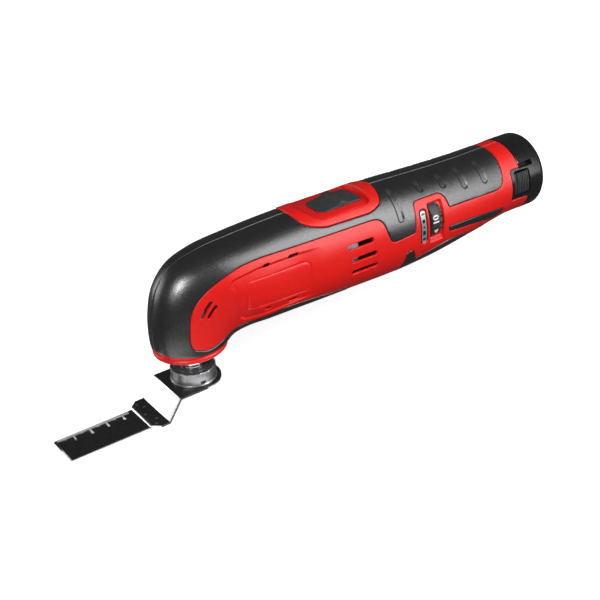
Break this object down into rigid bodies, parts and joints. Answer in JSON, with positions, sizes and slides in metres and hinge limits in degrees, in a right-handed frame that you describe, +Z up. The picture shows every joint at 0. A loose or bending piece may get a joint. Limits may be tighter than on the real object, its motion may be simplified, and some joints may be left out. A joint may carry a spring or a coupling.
{
  "type": "cordless oscillating multi-tool",
  "caption": "Cordless oscillating multi-tool with bent head, plunge saw blade, slide switch, speed dial and a plug-in battery held by side latches.",
  "frame": {"origin": "centre of the bounding box in x and y, at its lowest point, which is the underside of the saw blade", "axes": "+X runs along the body from the blade to the battery, +Z is up along the spindle axis, +Y is the far side of the body, where the housing screws go in"},
  "size_m": [0.333, 0.0537, 0.0957],
  "materials": {
    "red_plastic": "satin moulded ABS",
    "grip_rubber": "satin overmoulded elastomer",
    "silver_label": "printed silver label",
    "black_steel": "black oxide",
    "coated_steel": "black coated, ground edges",
    "cast_aluminium": "as cast",
    "steel": "machined",
    "brushed_flange": "turned",
    "chromed_steel": "polished",
    "dark_plastic": "fine texture",
    "black_plastic": "moulded",
    "ferrite": "sintered",
    "copper": "copper windings",
    "circuit_board": "solder mask",
    "red_insulation": "insulation",
    "brass_contacts": "stamped",
    "cell_wrap": "shrink wrap",
    "battery_plastic": "gloss"
  },
  "bodies": {
    "housing": {"left_housing": "red_plastic", "right_housing": "red_plastic", "left_grip": "grip_rubber", "right_grip": "grip_rubber", "left_belly_pad": "grip_rubber", "right_belly_pad": "grip_rubber", "left_side_stripe": "grip_rubber", "right_side_stripe": "grip_rubber", "nose_ring": "red_plastic", "switch_bezel": "red_plastic", "gauge_strip": "silver_label", "housing_screw_1": "black_steel", "housing_screw_2": "black_steel", "housing_screw_3": "black_steel", "housing_screw_4": "black_steel", "housing_screw_5": "black_steel", "housing_screw_6": "black_steel", "gear_case": "cast_aluminium", "spindle_seal": "grip_rubber", "lower_bearing": "steel", "upper_bearing": "steel", "motor_can": "steel", "motor_end_bell": "black_plastic", "magnet_left": "ferrite", "magnet_right": "ferrite", "motor_screw_1": "black_steel", "motor_screw_2": "black_steel", "carbon_brush_1": "black_plastic", "carbon_brush_2": "black_plastic", "switch_module": "black_plastic", "speed_board": "circuit_board", "dial_potentiometer": "black_plastic", "terminal_block": "black_plastic", "battery_lead": "red_insulation", "motor_lead": "black_plastic"},
    "rotor": {"motor_shaft": "steel", "armature": "copper", "commutator": "copper", "eccentric": "steel", "eccentric_bearing": "steel"},
    "spindle": {"spindle": "chromed_steel", "fork_lever": "steel", "drive_flange": "brushed_flange", "dust_washer": "dark_plastic"},
    "accessory": {"blade_holder": "coated_steel", "saw_blade": "coated_steel", "clamp_washer": "steel", "clamp_screw": "black_steel"},
    "switch_slider": {"switch_knob": "dark_plastic", "switch_link": "black_plastic"},
    "speed_dial": {"dial_wheel": "black_plastic", "dial_shaft": "steel"},
    "battery_pack": {"battery_cap": "battery_plastic", "battery_sleeve": "battery_plastic", "battery_cell_1": "cell_wrap", "battery_cell_2": "cell_wrap", "battery_cell_3": "cell_wrap", "battery_contacts": "brass_contacts"},
    "latch_button_left": {"latch_left": "battery_plastic"},
    "latch_button_right": {"latch_right": "battery_plastic"}
  },
  "joints": [
    {"name": "rotor_spin", "type": "hinge", "parent": "housing", "child": "rotor", "pos_m": [-0.02215, 0, 0.06565], "axis": [1, 0, 0], "continuous": true},
    {"name": "spindle_oscillation", "type": "hinge", "parent": "housing", "child": "spindle", "pos_m": [-0.08215, 0, 0.04465], "axis": [0, 0, 1], "range_deg": [-1.6, 1.6]},
    {"name": "accessory_release", "type": "slide", "parent": "spindle", "child": "accessory", "axis": [0, 0, -1], "range_m": [0, 0.025]},
    {"name": "switch_slide", "type": "slide", "parent": "housing", "child": "switch_slider", "axis": [-1, 0, 0], "range_m": [0, 0.007]},
    {"name": "dial_turn", "type": "hinge", "parent": "housing", "child": "speed_dial", "pos_m": [0.07565, -0.0145, 0.06965], "axis": [1, 0, 0], "range_deg": [0, 270]},
    {"name": "battery_release", "type": "slide", "parent": "housing", "child": "battery_pack", "axis": [1, 0, 0], "range_m": [0, 0.085]},
    {"name": "latch_press_left", "type": "slide", "parent": "battery_pack", "child": "latch_button_left", "axis": [0, 1, 0], "range_m": [0, 0.002], "stiffness_N_per_m": 600, "springref_m": -0.002},
    {"name": "latch_press_right", "type": "slide", "parent": "battery_pack", "child": "latch_button_right", "axis": [0, -1, 0], "range_m": [0, 0.002], "stiffness_N_per_m": 600, "springref_m": -0.002}
  ]
}
